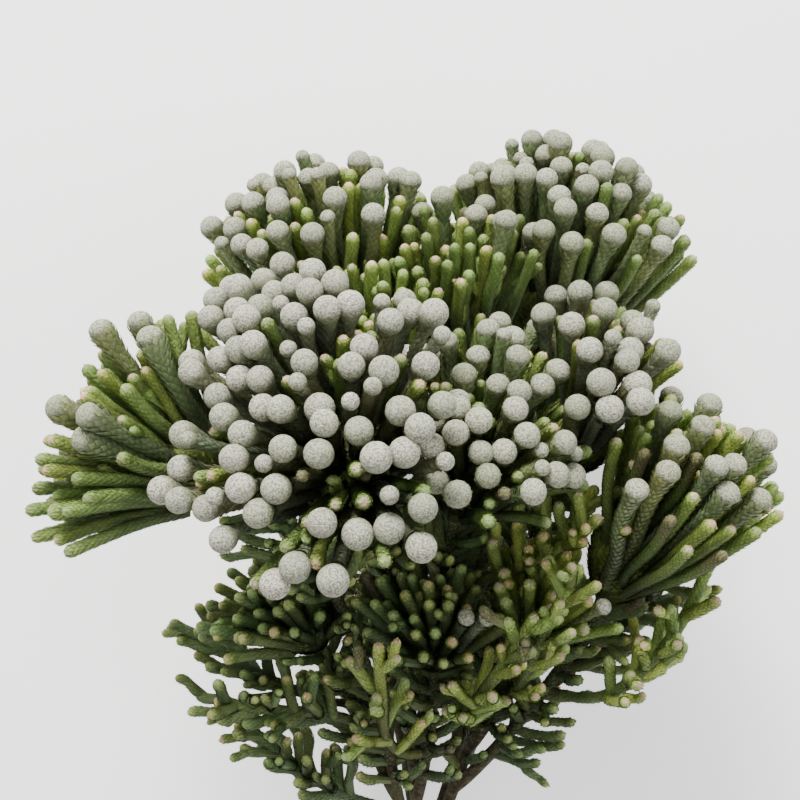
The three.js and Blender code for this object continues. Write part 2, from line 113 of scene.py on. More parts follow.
HEADS = [
    dict(name="head_front", seed=11, base=(-16, -30, 128), axis=(-0.28, 0.44, 0.85), height=78, wide=60,
         deep=72, drop=18, flare=0.7, shoots=128, balls=0.86, lean=(0, 0), shaft=0.92, ball=1.0),
    dict(name="head_middle", seed=23, base=(24, -46, 104), axis=(0.2, 0.7, 0.68), height=84, wide=42,
         deep=58, drop=18, flare=0.8, shoots=100, balls=0.6, lean=(0, 0.2), shaft=1.15, ball=0.96,
         fork=("head_front", 0.26)),
    dict(name="head_right_inner", seed=37, base=(66, -30, 98), axis=(0.2, 0.74, 0.66), height=82, wide=40,
         deep=44, drop=16, flare=0.7, shoots=78, balls=0.62, lean=(0, 0.2), shaft=1.0, ball=1.0),
    dict(name="head_right_outer", seed=41, base=(84, -84, 98), axis=(0.3, 0.8, 0.52), height=104, wide=46,
         deep=42, drop=24, flare=0.2, shoots=90, balls=0.22, lean=(-0.35, 0.3), shaft=1.2, ball=0.98,
         fork=("head_right_inner", 0.2)),
    dict(name="head_right_far", seed=43, base=(114, -74, 88), axis=(0.4, 0.78, 0.48), height=76, wide=18,
         deep=24, drop=14, flare=0.3, shoots=28, balls=0.12, lean=(-0.2, 0), shaft=1.1, ball=0.9,
         fork=("head_right_outer", 0.6)),
    dict(name="head_left", seed=53, base=(-62, -36, 134), axis=(-0.78, 0.5, 0.38), height=82, wide=56,
         deep=28, drop=22, flare=0.8, shoots=84, balls=0.14, lean=(0.4, 0.2), shaft=1.35, ball=1.02),
    dict(name="head_back_right", seed=67, base=(64, 12, 56), axis=(0.06, 0.9, 0.43), height=106, wide=58,
         deep=46, drop=32, flare=0.2, shoots=134, balls=0.62, lean=(-0.4, 0.1), shaft=1.0, ball=0.98),
    dict(name="head_back_left", seed=71, base=(-22, 10, 62), axis=(-0.12, 0.9, 0.42), height=100, wide=56,
         deep=44, drop=28, flare=0.25, shoots=124, balls=0.46, lean=(0, 0.1), shaft=1.0, ball=0.98),
    dict(name="head_back_centre", seed=113, base=(24, -4, 74), axis=(-0.02, 0.86, 0.5), height=96, wide=34,
         deep=34, drop=12, flare=0.3, shoots=70, balls=0.24, lean=(0, 0.1), shaft=1.0, ball=0.94,
         fork=("head_back_right", 0.3)),
    dict(name="head_centre", seed=73, base=(-8, -4, 102), axis=(-0.06, 0.8, 0.6), height=70, wide=30,
         deep=26, drop=10, flare=0.3, shoots=44, balls=0.12, lean=(0, 0.1), shaft=1.0, ball=0.9,
         fork=("head_front", 0.42)),
    dict(name="head_low_left", seed=79, base=(-34, -106, 80), axis=(-0.4, 0.72, 0.56), height=60, wide=40,
         deep=30, drop=14, flare=0.7, shoots=60, balls=0.03, lean=(0, 0), shaft=0.9, ball=0.7,
         fork=("head_left", 0.2)),
    dict(name="head_low_centre", seed=89, base=(15, -114, 83), axis=(0, 0.8, 0.6), height=58, wide=36,
         deep=30, drop=12, flare=0.7, shoots=54, balls=0.03, lean=(0, 0), shaft=0.9, ball=0.7,
         fork=("head_front", 0.16)),
    dict(name="head_low_right", seed=103, base=(54, -106, 84), axis=(0.18, 0.82, 0.54), height=62, wide=40,
         deep=28, drop=14, flare=0.7, shoots=54, balls=0.03, lean=(0, 0), shaft=0.9, ball=0.7,
         fork=("head_right_inner", 0.3)),
    dict(name="head_under_left", seed=83, base=(-26, -28, 39.4), axis=(-0.25, 0.93, -0.18), height=96,
         wide=36, deep=24, drop=16, flare=0.5, shoots=46, balls=0.5, lean=(0, -0.2), shaft=1.0, ball=1.0,
         fork=("head_back_left", 0.22)),
    dict(name="head_under_right", seed=97, base=(44, -30, 35.8), axis=(0.22, 0.94, -0.16), height=96,
         wide=38, deep=22, drop=16, flare=0.5, shoots=46, balls=0.5, lean=(0, -0.2), shaft=1.0, ball=1.0,
         fork=("head_back_right", 0.22)),
]

# Side sprays: name, seed, the head whose branch each leaves, at which share of it, where it reaches to, its
# number of fingers and their length.
SPRAYS = [
    ("spray_left_high", 101, "head_low_left", 0.6, (-88, -98, 82), 18, 24),
    ("spray_left_mid", 103, "head_left", 0.4, (-78, -126, 92), 22, 24),
    ("spray_left_low", 107, "head_left", 0.16, (-66, -142, 74), 20, 24),
    ("spray_fork", 113, "head_low_centre", 0.4, (-8, -92, 140), 6, 24),
    ("spray_front", 131, "head_low_right", 0.3, (52, -82, 136), 22, 22),
    ("spray_right", 137, "head_middle", 0.7, (76, -44, 140), 30, 30),
    ("spray_right_mid", 179, "head_low_right", 0.7, (68, -62, 142), 26, 26),
    ("spray_right_low", 139, "head_right_outer", 0.6, (120, -62, 130), 18, 22),
    ("spray_under_left", 149, "head_under_left", 0.5, (-46, -64, 22), 14, 22),
    ("spray_under_right", 151, "head_under_right", 0.55, (44, -50, 9), 14, 22),
]


def draw(seed, index, use):
    """A repeatable number from 0 to 1 for a seed, a running index and a use."""
    word = 0xFFFFFFFF
    h = (seed * 374761393 + index * 668265263 + use * 2246822519) & word
    h = ((h ^ (h >> 13)) * 1274126177) & word
    h = ((h ^ (h >> 15)) * 2654435761) & word
    return ((h ^ (h >> 16)) & word) / 4294967296


def unit(v):
    return v / np.linalg.norm(v)


def directions(axis):
    """Along an axis, across it, and over towards the upper side."""
    along = unit(np.asarray(axis, float))
    across = unit(np.cross(along, UP))
    return along, across, np.cross(across, along)


def radial(tangent, turn):
    """The direction square to a tangent at a turn round it."""
    _, across, over = directions(tangent)
    return across * math.cos(turn) + over * math.sin(turn)


def square_to(v):
    """A direction square to the given one, level unless that one is upright."""
    return unit(np.cross(v, UP if abs(v[2]) < 0.9 else np.array([1.0, 0.0, 0.0])))


class Bend:
    """A Bezier curve, or a straight line, measured by its length."""

    STEPS = 200

    def __init__(self, *points):
        self.points = np.array(points, float)
        self.t = np.linspace(0, 1, self.STEPS + 1)
        path = self.at(self.t)
        self.run = np.concatenate([[0.0], np.cumsum(np.linalg.norm(np.diff(path, axis=0), axis=1))])
        self.length = self.run[-1]

    def at(self, t):
        t = np.asarray(t, float)[..., None]
        rows = [np.broadcast_to(p, t.shape[:-1] + (3,)) for p in self.points]
        while len(rows) > 1:
            rows = [a * (1 - t) + b * t for a, b in zip(rows, rows[1:])]
        return rows[0]

    def point(self, share):
        return self.at(np.interp(np.asarray(share, float) * self.length, self.run, self.t))

    def tangent(self, share):
        t = np.interp(np.asarray(share, float) * self.length, self.run, self.t)
        step = 1e-4
        low, high = np.clip(t - step, 0, 1), np.clip(t + step, 0, 1)
        d = self.at(high) - self.at(low)
        return d / np.linalg.norm(d, axis=-1, keepdims=True)


def bent_twice(origin, heading, bend, length):
    """A short curve that sets out on a heading and halfway turns towards it plus a bend."""
    middle = origin + heading * 0.5 * length
    return Bend(origin, middle, middle + unit(heading + bend) * 0.5 * length)


class Shoot:
    """A shoot of a node: ball is its ball's radius, rho how far out in its head it stands, from 0 to 1."""

    def __init__(self, node, curve, radius, ball=0.0, rho=1.0, seed=0, index=0):
        self.node = node
        self.curve = curve
        self.radius = radius
        self.ball = ball
        self.rho = rho
        self.seed = seed
        self.index = index

    def draw(self, use):
        return draw(self.seed, self.index, use)

    def beads(self):
        """Spheres along the shoot: x, y, z, radius."""
        count = max(3, math.ceil(self.curve.length / BEAD_STEP))
        rows = self.curve.point(np.arange(count + 1) / count)
        rows = np.column_stack([rows, np.full(count + 1, self.radius)])
        if self.ball:
            centre = self.curve.point(1 - self.ball / self.curve.length)
            rows = np.vstack([rows, [*centre, self.ball]])
        return rows


def branch_curve(head, branches):
    """A head's branch leaves the whorl, or another head's branch at a share of its length."""
    parent = branches.get(head["fork"][0]) if "fork" in head else None
    start = parent.point(head["fork"][1]) if parent else WHORL
    onward = parent.tangent(head["fork"][1]) if parent else unit(WHORL - CUT_END)
    base = np.array(head["base"], float)
    along = directions(head["axis"])[0]
    reach = np.linalg.norm(base - start)
    aside = base - start - onward * np.dot(base - start, onward)
    leaving = start + onward * BRANCH_ONWARD * reach + aside * BRANCH_ASIDE
    return Bend(start, leaving, base - along * BRANCH_BACK * reach, base)


def head_shoot(head, i):
    """One shoot of a head, by its place in a sunflower spiral over the head's disc."""
    along, across, over = directions(head["axis"])
    seed, count = head["seed"], head["shoots"]
    rho = math.sqrt((i + 0.5) / count)
    turn = i * GOLDEN_ANGLE
    jitter = SPIRAL_JITTER / math.sqrt(count)
    a = rho * math.cos(turn) + jitter * (draw(seed, i, 1) - 0.5)
    b = rho * math.sin(turn) + jitter * (draw(seed, i, 2) - 0.5)
    is_ball = draw(seed, i, 3) < head["balls"] + head["lean"][0] * a + head["lean"][1] * b
    small = draw(seed, i, 4)
    height = head["height"] - head["drop"] * rho * rho + HEIGHT_JITTER * (draw(seed, i, 5) - 0.5)
    if not is_ball:
        height -= FINGER_LOWER + FINGER_LOWER_SPAN * draw(seed, i, 6)
    base = np.array(head["base"], float)
    lateral = across * head["wide"] * a + over * head["deep"] * b
    root = base + along * head["height"] * (ROOT_LOW + ROOT_SPAN * (1 - rho)) + lateral * ROOT_SPREAD
    tip = base + along * height + lateral
    rise = np.dot(tip - root, along)
    out = (BEND_OUT - BEND_FLARE * head["flare"]) * (1 - ROOT_SPREAD)
    curve = Bend(root, root + along * BEND_RISE * rise + lateral * out, tip)
    if not is_ball:
        radius = FINGER_R * (FINGER_SIZE + FINGER_SIZE_SPAN * small)
        return Shoot(head["name"], curve, radius, 0.0, rho, seed, i)
    size = SMALL_BALL_SIZE if small < SMALL_BALLS else BALL_SIZE + BALL_SIZE_SPAN * small
    return Shoot(head["name"], curve, SHAFT_R * head["shaft"], BALL_R * head["ball"] * size, rho, seed, i)


def spray_shoots(name, seed, head, at, reach, fingers, length, branches):
    """A side spray's woody foot, its leafy axis and the fingers that stand along it."""
    branch = branches[head]
    leave = branch.point(at)
    up_branch = branch.tangent(at)
    reach = np.array(reach, float)
    to_reach = reach - leave
    aside = unit(to_reach - up_branch * np.dot(to_reach, up_branch))
    outward = unit(aside * SPRAY_ASIDE + up_branch * SPRAY_ONWARD)
    foot = leave + outward * (BRANCH_R + STUB_LENGTH)
    start = foot + outward * SEAT_GAP
    span = np.linalg.norm(reach - start)
    axis = Bend(start, start + outward * SPRAY_STRAIGHT * span, reach)
    shoots = [Shoot(name, axis, FINGER_R, seed=seed, index=99)]
    for k in range(fingers):
        share = SPRAY_BARE + SPRAY_CLOTHED * (k + 0.3) / fingers
        tangent = axis.tangent(share)
        side = radial(tangent, k * GOLDEN_ANGLE + SPRAY_TURN_JITTER * draw(seed, k, 1))
        heading = unit(tangent * SPRAY_ALONG + side * SPRAY_OUT + GROWTH * SPRAY_GROWTH)
        reach_out = length * (1.1 - 0.4 * share) * (0.8 + 0.4 * draw(seed, k, 2))
        curve = bent_twice(axis.point(share), heading, GROWTH * SPRAY_CURL, reach_out)
        shoots.append(Shoot(name, curve, FINGER_R * (0.88 + 0.2 * draw(seed, k, 3)), seed=seed, index=k))
    return dict(name=name, leave=leave, foot=foot, shoots=shoots)


def heart_half_widths(head, height):
    """Half widths of a head's heart at a height above its base."""
    s = np.asarray(height, float) / (HEART_SHARE * head["height"])
    below = s < HEART_WIDEST
    fall_off = np.clip((s - HEART_WIDEST) / (1 - HEART_WIDEST), 0, 1)
    rise = np.sin(np.minimum(s, HEART_WIDEST) / HEART_WIDEST * math.pi / 2)
    swell = np.where(below, rise, np.sqrt(1 - fall_off ** 2))
    least = np.where(below, BRANCH_TIP_R, 0.0)
    return [least + (HEART_WIDTH * half - least) * swell for half in (head["wide"], head["deep"])]


def heart_beads(head):
    """Spheres that fill a head's heart, side by side across its wider way."""
    along, across, over = directions(head["axis"])
    rows = []
    for k in range(1, HEART_ROWS + 1):
        height = k / (HEART_ROWS + 1) * HEART_SHARE * head["height"]
        wide, deep = heart_half_widths(head, height)
        radius = min(wide, deep)
        for side in (-1, 0, 1):
            p = np.array(head["base"]) + along * height + across * side * (wide - radius)
            rows.append([*(p + over * side * (deep - radius)), radius])
    return np.array(rows, float)


class Room:
    """What is taken already, as spheres, each with its node and the node whose branch it is."""

    CAPACITY = 40000

    def __init__(self):
        self.names = {}
        self.balls = np.zeros((self.CAPACITY, 4))
        self.owner = np.full(self.CAPACITY, -1)
        self.branch_of = np.full(self.CAPACITY, -1)
        self.used = 0
        self.tips = {}

    def number(self, name):
        return self.names.setdefault(name, len(self.names))

    def add(self, node, curve, radius, branch_of):
        """Take up the room of a woody curve, maybe the branch of another node."""
        self.add_beads(node, Shoot(node, curve, radius).beads(), branch_of)

    def add_beads(self, node, beads, branch_of=None):
        rows = slice(self.used, self.used + len(beads))
        self.balls[rows] = beads
        self.owner[rows] = self.number(node)
        self.branch_of[rows] = self.number(branch_of) if branch_of else -1
        self.used += len(beads)

    def blocked(self, node, beads, clearance):
        """Whether spheres of a node come too near to another node's, apart from its own branch."""
        me = self.number(node)
        others = (self.owner[:self.used] != me) & (self.branch_of[:self.used] != me)
        rows = self.balls[:self.used][others]
        gap = rows[None, :, 3] + beads[:, None, 3] + clearance
        apart = ((rows[None, :, :3] - beads[:, None, :3]) ** 2).sum(2)
        return bool((apart < gap ** 2).any())

    def crowded(self, node, tip):
        """Whether a shoot's last sphere presses too far into another one of its node."""
        taken = self.tips.get(node)
        if not taken:
            return False
        rows = np.array(taken)
        apart = ((rows[:, :3] - tip[:3]) ** 2).sum(1)
        return bool((apart < (rows[:, 3] + tip[3] + TIP_OVERLAP) ** 2).any())

    def keep(self, candidates, clearance):
        """Take up the candidates that stay clear, in order, and return them."""
        kept = []
        for shoot in candidates:
            beads = shoot.beads()
            if (beads[:, 2] - beads[:, 3] < -TABLE_BITE).any():
                continue
            if self.blocked(shoot.node, beads, clearance) or self.crowded(shoot.node, beads[-1]):
                continue
            self.add_beads(shoot.node, beads)
            self.tips.setdefault(shoot.node, []).append(beads[-1])
            kept.append(shoot)
        return kept


branches = {}
for head in HEADS:
    branches[head["name"]] = branch_curve(head, branches)
sprays = [spray_shoots(*row, branches) for row in SPRAYS]

room = Room()
room.add("stem", Bend(CUT_END, WHORL), STEM_R, None)
for head in HEADS:
    room.add("stem", branches[head["name"]], BRANCH_R, head["name"])
    room.add_beads(head["name"], heart_beads(head))
for spray in sprays:
    room.add("stem", Bend(spray["leave"], spray["foot"]), STUB_R, spray["name"])

head_candidates = [head_shoot(head, i) for head in HEADS for i in range(head["shoots"])]
kept = room.keep(
    [spray["shoots"][0] for spray in sprays]
    + sorted(head_candidates, key=lambda shoot: shoot.rho)
    + [shoot for spray in sprays for shoot in spray["shoots"][1:]],
    CLEARANCE,
)


# Short leafy twigs that clothe the branches below the heads
TWIG_FROM = 0.24  # they stand from this share of a branch
TWIG_OVER = 0.74  # over this share of it
TWIG_STEP = 2.4
TWIG_LENGTH = 23.0
TWIG_PRESS = -1.8  # twigs may press into what is near them by this much
TWIG_SEED = 200  # keeps their draws apart from those of the head's shoots


def branch_twigs(head):
    curve = branches[head["name"]]
    seed = head["seed"] + TWIG_SEED
    rows = []
    for k in range(int(curve.length * TWIG_OVER / TWIG_STEP)):
        share = TWIG_FROM + k * TWIG_STEP / curve.length
        tangent = curve.tangent(share)
        side = radial(tangent, k * GOLDEN_ANGLE + draw(seed, k, 1))
        heading = unit(tangent * 0.45 + side * 0.85)
        length = TWIG_LENGTH * (0.75 + 0.6 * draw(seed, k, 2))
        bent = bent_twice(curve.point(share), heading, tangent * 0.5 + GROWTH * 0.4, length)
        rows.append(Shoot(head["name"], bent, FINGER_R * (0.8 + 0.2 * draw(seed, k, 3)), seed=seed, index=k))
    return rows


twigs = room.keep([twig for head in HEADS for twig in branch_twigs(head)], TWIG_PRESS)


# Meshes

class Builder:
    """Gathers points, faces and a few numbers for each point, and makes one mesh object of them."""

    LOWEST = 0.0001  # no point lies lower over the table, in metres

    def __init__(self, names):
        self.points = []
        self.faces = []
        self.numbers = {name: [] for name in names}
        self.count = 0

    def add(self, points, faces, **numbers):
        self.points.append(points)
        self.faces.append(np.asarray(faces) + self.count)
        self.count += len(points)
        for name, values in self.numbers.items():
            values.append(np.broadcast_to(numbers[name], len(points)))

    def make(self, name, material, smooth):
        points = (np.concatenate(self.points) - BOX_CENTRE) * MM
        points[:, 2] = np.maximum(points[:, 2], self.LOWEST)
        triangles = np.concatenate(self.faces)
        mesh = bpy.data.meshes.new(name)
        mesh.vertices.add(len(points))
        mesh.vertices.foreach_set("co", points.ravel())
        mesh.loops.add(len(triangles) * 3)
        mesh.loops.foreach_set("vertex_index", triangles.ravel().astype(np.int32))
        mesh.polygons.add(len(triangles))
        mesh.polygons.foreach_set("loop_start", np.arange(0, len(triangles) * 3, 3, dtype=np.int32))
        mesh.polygons.foreach_set("use_smooth", np.full(len(triangles), smooth))
        for key, values in self.numbers.items():
            layer = mesh.attributes.new(key, "FLOAT", "POINT")
            layer.data.foreach_set("value", np.concatenate(values).astype(np.float32))
        mesh.update(calc_edges=True)
        mesh.validate()
        mesh.materials.append(material)
        made = bpy.data.objects.new(name, mesh)
        bpy.context.scene.collection.objects.link(made)
        return made


class Rail:
    """A curve with two directions square to it, for points at a distance along it, a turn and a radius.

    It may sway to both sides by so many millimetres, with its ends in place.
    """

    def __init__(self, curve, stations=14, sway=0.0):
        self.length = curve.length
        shares = np.linspace(0, 1, stations)
        self.at = shares * curve.length
        self.points = curve.point(shares)
        self.tangents = curve.tangent(shares)
        axis = np.cross(self.tangents[0], self.tangents[-1])
        straight = np.linalg.norm(axis) < 1e-3
        axis = square_to(self.tangents[0]) if straight else unit(axis)
        over = np.cross(axis, self.tangents)
        self.over = over / np.linalg.norm(over, axis=1, keepdims=True)
        across = np.cross(self.tangents, self.over)
        self.across = across / np.linalg.norm(across, axis=1, keepdims=True)
        swing = sway * np.sin(2 * math.pi * shares) * np.sin(math.pi * shares)
        self.points = self.points + self.across * swing[:, None]

    def mix(self, table, s):
        return np.column_stack([np.interp(s, self.at, table[:, k]) for k in range(3)])

    def place(self, s, turn, radius):
        s = np.asarray(s, float)
        inside = np.clip(s, 0, self.length)
        p = self.mix(self.points, inside) + self.mix(self.tangents, inside) * (s - inside)[:, None]
        across, over = self.mix(self.across, inside), self.mix(self.over, inside)
        return p + across * (radius * np.cos(turn))[:, None] + over * (radius * np.sin(turn))[:, None]


# Scale leaves
LEAF_DENSITY = 6.4  # on each millimetre of a shoot
LEAF_LENGTH = 2.7
LEAF_WIDTH = 1.75
LEAF_MIDDLE = 0.4  # where a leaf is widest, as a share of its length
LEAF_FOOT = 0.9  # its foot lies at this share of the shoot's radius
LEAF_EDGE = 0.97  # and its edges at this share
LEAF_LIFT = 0.22  # its tip stands off by this much
LEAF_LIFT_SPAN = 0.26  # and by up to this much more
# Each leaf is darker at its foot and lighter at its tip: painted shade under the leaf before it and painted
# light on its raised tip
LEAF_BLADE = [0.1, 0.4, 0.4, 1.0]  # from foot to tip, for its colours
CLUB_LEAF = 1.35  # size of the leaves of shoots that carry a ball
TWIG_LEAF = 1.25  # size of the leaves of the twigs on the branches
# Below this the colours darken towards the shoot's foot: painted shade deep inside the head. The pale tip
# colours are the shoot's own.
TIP_FADE = 40.0  # a shoot's colours change over this length below its tip


def add_leaves(builder, rail, radius_at, start, end, tint, kind, density, size, tip_and_shade_share=1.0):
    """Scale leaves pressed to the shoot in a golden-angle spiral, each a blade folded along its keel."""
    count = int((end - start) * density)
    if count < 1:
        return
    n = np.arange(count)
    rng = np.random.default_rng(int(tint * 1e6) + count)
    s = start + (n + 0.2 * rng.random(count)) / density
    turn = n * GOLDEN_ANGLE + 0.1 * (rng.random(count) - 0.5)
    length = LEAF_LENGTH * size * (0.85 + 0.3 * rng.random(count))
    half = 0.5 * LEAF_WIDTH * size / np.maximum(radius_at(s), 1.0) * (0.9 + 0.25 * rng.random(count))
    tip_r = np.maximum(radius_at(s + length), 0.3) + size * (LEAF_LIFT + LEAF_LIFT_SPAN * rng.random(count))
    middle = s + LEAF_MIDDLE * length
    foot = rail.place(s, turn, radius_at(s) * LEAF_FOOT)
    left = rail.place(middle, turn - half, radius_at(middle) * LEAF_EDGE)
    right = rail.place(middle, turn + half, radius_at(middle) * LEAF_EDGE)
    tip = rail.place(s + length, turn, tip_r)
    points = np.stack([foot, left, right, tip], axis=1).reshape(-1, 3)
    base = 4 * n[:, None]
    faces = np.concatenate([base + [0, 3, 1], base + [0, 2, 3]])
    blade = np.tile(LEAF_BLADE, count)
    tone = np.repeat(rng.random(count), 4)
    # Lower leaves take the darker colours, painted shade deep inside the head; a share below 1 keeps them
    # darker still, with more painted shade
    along = 1 - (rail.length - np.repeat(s, 4) - blade * LEAF_LENGTH) / TIP_FADE
    along = tip_and_shade_share * np.clip(along, 0, 1)
    builder.add(points, faces, along=along, tint=tint, blade=blade, tone=tone, kind=kind)


def add_tube(builder, rail, stops, radii, sides, **numbers):
    """A closed tube with a ring at each of the given distances along the rail."""
    rings = len(stops)
    turn = np.tile(np.arange(sides) * 2 * math.pi / sides, rings)
    s = np.repeat(stops, sides)
    points = rail.place(s, turn, np.repeat(radii, sides))
    ends = rail.place(np.array([stops[0], stops[-1]]), np.zeros(2), np.zeros(2))
    points = np.vstack([points, ends])
    faces = []
    for k in range(rings - 1):
        for c in range(sides):
            a, b = k * sides + c, k * sides + (c + 1) % sides
            faces += [(a, b, b + sides), (a, b + sides, a + sides)]
    first, last = rings * sides, rings * sides + 1
    for c in range(sides):
        d = (c + 1) % sides
        faces += [(first, d, c), (last, (rings - 1) * sides + c, (rings - 1) * sides + d)]
    builder.add(points, faces, **numbers)


FINGER_DOME = 1.1  # length of a finger's dome, in radii
FINGER_SWELL = 0.08  # how much thicker it is at its thickest
SWELL_BELOW = 3.0  # where that is, below the tip
SWELL_REACH = 2.5
DOME_RINGS = np.array([2.2, 1.1, 0.7, 0.35, 0.1])  # below the tip, in radii
NECK_REACH = 3.4  # close rings start this far below a ball's middle, in its radii
NECK_RINGS = 8
RING_STEP = 9.0
SHOOT_SIDES = 7
SKIN_INSET = 0.93  # the closed skin under the leaves, as a share of the shoot's radius
SWAY = 2.0

WITH_BALL = 0.0  # the two kinds of shoots
WITHOUT_BALL = 1.0
SHOOT_NUMBERS = ("along", "tint", "blade", "tone", "kind")
BALL_NUMBERS = ("tint", "side", "green")
# How far up each head's balls the scale leaves climb, as a share of the ball's width
COLLAR = {"head_front": 0.06, "head_right_inner": 0.2, "head_middle": 0.4, "head_right_outer": 0.48,
          "head_left": 0.62}
COLLAR_ELSEWHERE = 0.3
# How far each head's balls are drawn out into a neck
NECK = {"head_front": 1.0, "head_right_inner": 1.2, "head_middle": 1.7, "head_right_outer": 2.0,
        "head_left": 3.0}
NECK_ELSEWHERE = 1.3

# What the repeatable numbers of a shoot's looks are drawn for
FOR_TINT = 11
FOR_BALL_TINT = 12
FOR_GREENER_BALL = 13
FOR_FORK = 14
FOR_FORK_PLACE = 15
FOR_FORK_TURN = 16
FOR_FORK_LENGTH = 17
FOR_SWAY = 18
FOR_BRANCH_TINT = 20


def finger_radius(radius, length):
    """Radius along a shoot that ends in a dome, a little thicker under it."""
    def at(s):
        fall = np.clip((s - (length - FINGER_DOME * radius)) / (FINGER_DOME * radius), 0, 1)
        swell = 1 + FINGER_SWELL * np.exp(-(((s - (length - SWELL_BELOW)) / SWELL_REACH) ** 2))
        return radius * swell * np.sqrt(1 - fall ** 2)
    return at


def bulb_depth(depth, neck):
    """How deep a point of a ball's lower half, given as a share of its radius, lies once it is drawn out."""
    return depth + neck * depth ** 3


def club_radius(radius, ball, length, neck):
    """Radius along a shoot that carries a ball drawn out into a conical neck."""
    depth = np.linspace(-1, 1, 81)
    drawn = np.where(depth > 0, bulb_depth(depth, neck), depth)

    def at(s):
        below = (length - ball - s) / ball
        return np.maximum(radius, ball * np.interp(below, drawn, np.sqrt(1 - depth ** 2)) + 0.05)
    return at


def branch_radius(length):
    """Radius along a branch, a little inside its bark, for the leaves on it."""
    def at(s):
        return BRANCH_R + (BRANCH_TIP_R - BRANCH_R) * np.clip(s / length, 0, 1) - 0.25
    return at


def root_distance(shoot, head):
    """Where a shoot comes out of its head's heart, less a little that stays in it."""
    along, across, over = directions(head["axis"])
    s = np.arange(0, shoot.curve.length, 1.5)
    offset = shoot.curve.point(s / shoot.curve.length) - np.array(head["base"])
    wide, deep = heart_half_widths(head, offset @ along)
    sideways = offset @ across / np.maximum(wide, 0.01)
    upwards = offset @ over / np.maximum(deep, 0.01)
    inside = np.hypot(sideways, upwards) < 0.96
    return max(0.0, s[inside].max() - 3) if inside.any() else 0.0


def ring_stops(start, close):
    """Distances of a tube's rings: well apart from its start, then the close ones."""
    count = max(2, int((close[0] - start) / RING_STEP) + 1)
    stops = np.concatenate([np.linspace(start, close[0], count)[:-1], close])
    return stops[np.concatenate([[True], np.diff(stops) > 0.05])]


def dress_shoot(builder, shoot, start, leaf=1.0):
    """Clothe a shoot from a distance along it up to its tip or its ball, with leaves of a relative size."""
    rail = Rail(shoot.curve, sway=SWAY * (2 * shoot.draw(FOR_SWAY) - 1))
    length = rail.length
    tint = shoot.draw(FOR_TINT)
    if shoot.ball:
        kind = WITH_BALL
        size = CLUB_LEAF
        radius_at = club_radius(shoot.radius, shoot.ball, length, NECK.get(shoot.node, NECK_ELSEWHERE))
        collar = COLLAR.get(shoot.node, COLLAR_ELSEWHERE)
        end = length - 2 * shoot.ball * (1 - collar) - 0.4 * LEAF_LENGTH
        skin_end = length - shoot.ball
        stops = ring_stops(start, np.linspace(skin_end - NECK_REACH * shoot.ball, skin_end, NECK_RINGS))
    else:
        kind = WITHOUT_BALL
        size = leaf
        radius_at = finger_radius(shoot.radius, length)
        end = length - 0.8 * LEAF_LENGTH
        stops = ring_stops(start, length - shoot.radius * DOME_RINGS)
    at_points = np.concatenate([np.repeat(stops, SHOOT_SIDES), stops[[0, -1]]])
    # The skin too darkens lower down: painted shade deep inside the head
    along = np.clip(1 - (length - at_points) / TIP_FADE, 0, 1)
    # blade 0.25 makes the skin darker than the leaves' middles: painted shade between the leaves
    add_tube(builder, rail, stops, radius_at(stops) * SKIN_INSET, SHOOT_SIDES,
             along=along, tint=tint, blade=0.25, tone=0.4, kind=kind)
    add_leaves(builder, rail, radius_at, start, end, tint, kind, LEAF_DENSITY / size ** 1.5, size)


def ball_template(count):
    """Points spread evenly over a sphere, and the faces of their hull."""
    n = np.arange(count) + 0.5
    z = 1 - 2 * n / count
    ring = np.sqrt(1 - z * z)
    points = np.column_stack([ring * np.cos(n * GOLDEN_ANGLE), ring * np.sin(n * GOLDEN_ANGLE), z])
    work = bmesh.new()
    corners = [work.verts.new(p) for p in points]
    work.verts.index_update()
    bmesh.ops.convex_hull(work, input=corners)
    bmesh.ops.triangulate(work, faces=work.faces[:])
    faces = np.array([[v.index for v in face.verts] for face in work.faces])
    work.free()
    return points, faces


BALL_POINTS, BALL_FACES = ball_template(240)
BALL_RELIEF = 0.018
BALL_LONG = 0.97  # a ball's length, as a share of its width
BALL_LONG_SPAN = 0.06
TUCK = 0.15  # a ball's lower half is narrower by this share where leaves cover it
TUCK_FADE = 0.4


def add_ball(builder, shoot, green):
    """A ball drawn out into a neck that narrows under the leaf collar."""
    radius = shoot.ball
    centre = shoot.curve.point(1 - radius / shoot.curve.length)
    axis = shoot.curve.tangent(1.0)
    side_way = square_to(axis)
    other = np.cross(axis, side_way)
    rng = np.random.default_rng(shoot.seed * 1000 + shoot.index)
    relief = 1 + BALL_RELIEF * (rng.random(len(BALL_POINTS)) - 0.5)
    long_way = BALL_LONG + BALL_LONG_SPAN * rng.random()
    depth = -BALL_POINTS[:, 2]
    drawn = np.where(depth > 0, bulb_depth(depth, NECK.get(shoot.node, NECK_ELSEWHERE)), depth)
    bare = 0.7 - 2 * COLLAR.get(shoot.node, COLLAR_ELSEWHERE)
    local = BALL_POINTS * (1 - TUCK * np.clip((drawn - bare) / TUCK_FADE, 0, 1))[:, None]
    local[:, 2] = -drawn
    local = local * relief[:, None] * radius
    points = centre + local[:, :1] * side_way + local[:, 1:2] * other + local[:, 2:] * axis * long_way
    # side runs from 0 at the neck to 1 at the top, for the green and the painted shade towards the neck
    side = BALL_POINTS[:, 2] * 0.5 + 0.5
    builder.add(points, BALL_FACES, tint=shoot.draw(FOR_BALL_TINT), side=side, green=green)


# Materials

